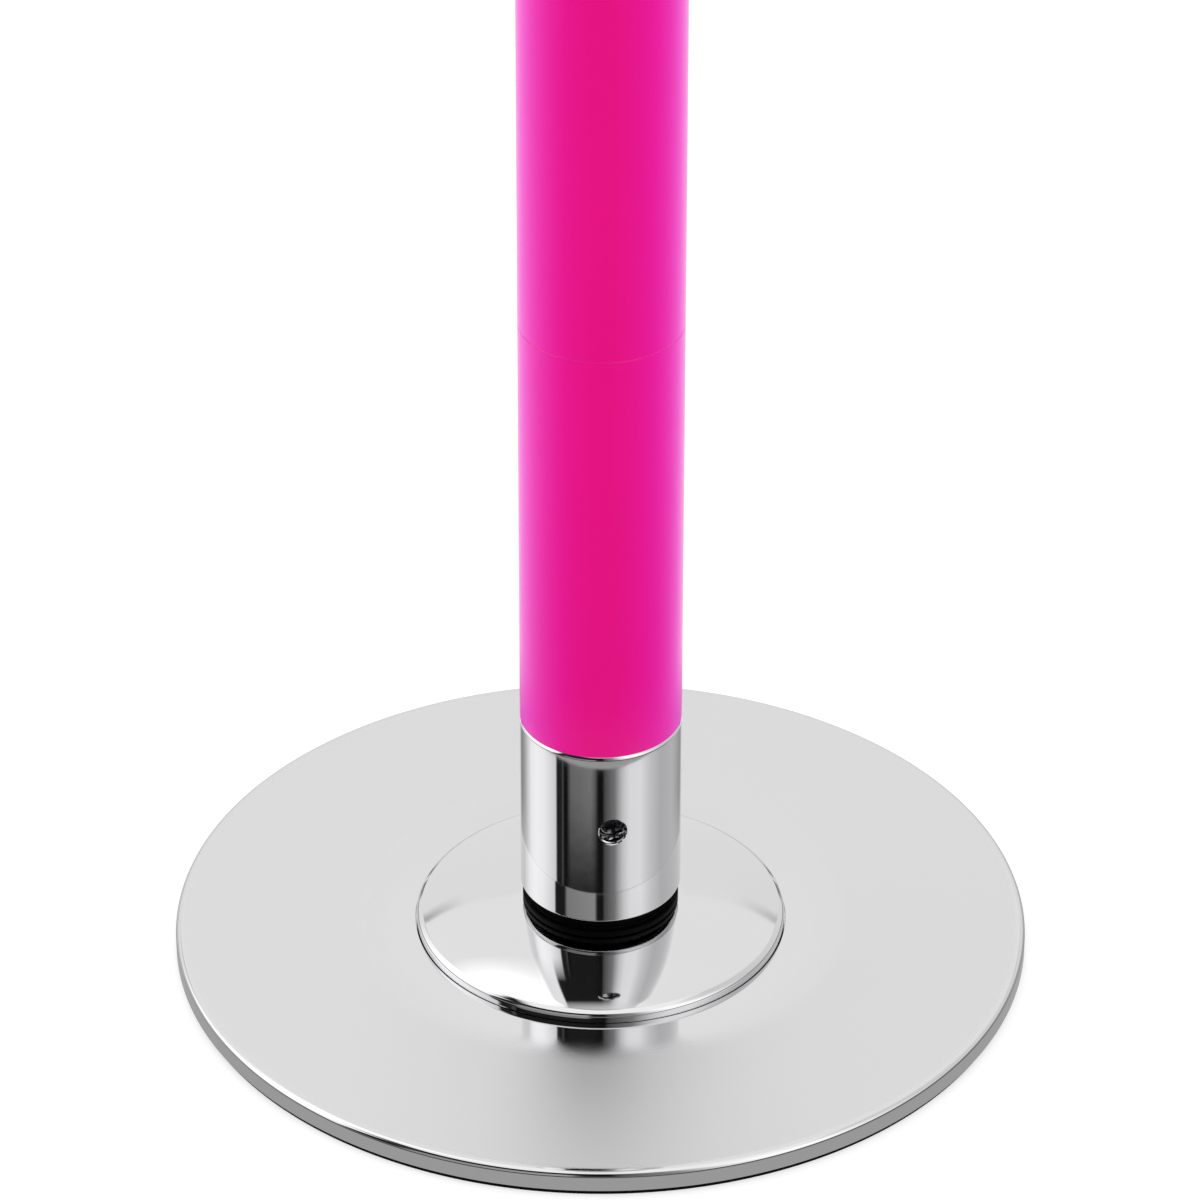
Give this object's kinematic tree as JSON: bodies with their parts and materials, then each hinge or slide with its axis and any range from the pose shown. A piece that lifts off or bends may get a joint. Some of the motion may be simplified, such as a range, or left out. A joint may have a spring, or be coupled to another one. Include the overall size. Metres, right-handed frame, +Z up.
{
  "type": "dance pole",
  "caption": "Spinning dance pole braced between floor and ceiling: chromed plate with raised disc and black seal, chromed collar, silicone-covered tube and a jack at the top.",
  "frame": {"origin": "centre of the underside of the floor pad, on the pole's axis", "axes": "+Z up along the pole, -Y towards the viewer of the picture, with the visible grub screw a little to the right of -Y"},
  "size_m": [0.24, 0.24, 2.3603],
  "materials": {
    "chrome": "mirror-polished chromium plate",
    "silicone": "smooth pink silicone, satin gloss",
    "steel": "turned bare steel",
    "bearing_steel": "ground bearing steel",
    "black_oxide": "black oxide, lightly oiled",
    "black_rubber": "smooth black rubber"
  },
  "bodies": {
    "base": {"base_pad": "black_rubber", "base_plate": "chrome", "base_disc": "chrome", "base_disc_screw_1": "black_oxide", "base_disc_screw_2": "black_oxide", "base_disc_screw_3": "black_oxide", "base_spindle": "steel", "base_circlip": "black_oxide", "base_seal": "black_rubber", "thrust_bearing_inner_race": "bearing_steel", "steady_bearing_inner_race": "bearing_steel"},
    "pole": {"base_collar": "chrome", "thrust_bearing_outer_race": "bearing_steel", "steady_bearing_outer_race": "bearing_steel", "extension_tube": "steel", "extension_sleeve": "silicone", "extension_spigot": "steel", "lower_tube": "steel", "lower_sleeve": "silicone", "middle_spigot": "steel", "upper_tube": "steel", "upper_sleeve": "silicone", "tube_cap": "chrome", "guide_screw": "black_oxide"},
    "thrust_balls": {"thrust_bearing_ball_cage": "bearing_steel"},
    "steady_balls": {"steady_bearing_ball_cage": "bearing_steel"},
    "lock_screw_1": {"grub_screw_1": "black_oxide"},
    "lock_screw_2": {"grub_screw_2": "black_oxide"},
    "nut": {"adjuster_nut": "chrome"},
    "jack": {"jack_screw": "steel", "jack_head": "chrome", "head_pin": "steel", "ceiling_bearing_outer_race": "bearing_steel"},
    "ceiling_foot": {"ceiling_pad": "black_rubber", "ceiling_plate": "chrome", "ceiling_disc": "chrome", "ceiling_disc_screw_1": "black_oxide", "ceiling_disc_screw_2": "black_oxide", "ceiling_disc_screw_3": "black_oxide", "ceiling_spindle": "steel", "ceiling_circlip": "black_oxide", "ceiling_seal": "black_rubber", "ceiling_bearing_inner_race": "bearing_steel"},
    "ceiling_balls": {"ceiling_bearing_ball_cage": "bearing_steel"}
  },
  "joints": [
    {"name": "pole_spin", "type": "hinge", "parent": "base", "child": "pole", "pos_m": [0, 0, 0.05], "axis": [0, 0, 1], "continuous": true},
    {"name": "thrust_balls_roll", "type": "hinge", "parent": "base", "child": "thrust_balls", "pos_m": [0, 0, 0.0265], "axis": [0, 0, 1], "continuous": true},
    {"name": "steady_balls_roll", "type": "hinge", "parent": "base", "child": "steady_balls", "pos_m": [0, 0, 0.072], "axis": [0, 0, 1], "continuous": true},
    {"name": "lock_screw_1_travel", "type": "slide", "parent": "pole", "child": "lock_screw_1", "axis": [-0.1513, 0.9885, 0], "range_m": [-0.0025, 0.0006]},
    {"name": "lock_screw_2_travel", "type": "slide", "parent": "pole", "child": "lock_screw_2", "axis": [0.1513, -0.9885, 0], "range_m": [-0.0025, 0.0006]},
    {"name": "nut_turn", "type": "hinge", "parent": "pole", "child": "nut", "pos_m": [0, 0, 2.295], "axis": [0, 0, 1], "range_deg": [-9720, 0]},
    {"name": "jack_lift", "type": "slide", "parent": "pole", "child": "jack", "axis": [0, 0, 1], "range_m": [0, 0.135]},
    {"name": "ceiling_spin", "type": "hinge", "parent": "jack", "child": "ceiling_foot", "pos_m": [0, 0, 2.333], "axis": [0, 0, 1], "continuous": true},
    {"name": "ceiling_balls_roll", "type": "hinge", "parent": "jack", "child": "ceiling_balls", "pos_m": [0, 0, 2.333], "axis": [0, 0, 1], "continuous": true}
  ],
  "couplings": [
    {"joint": "thrust_balls_roll", "follows": "pole_spin", "ratio": 0.5872},
    {"joint": "steady_balls_roll", "follows": "pole_spin", "ratio": 0.5675},
    {"joint": "nut_turn", "follows": "jack_lift", "rad_per_m": -1256.6},
    {"joint": "ceiling_balls_roll", "follows": "ceiling_spin", "ratio": 0.4128}
  ]
}
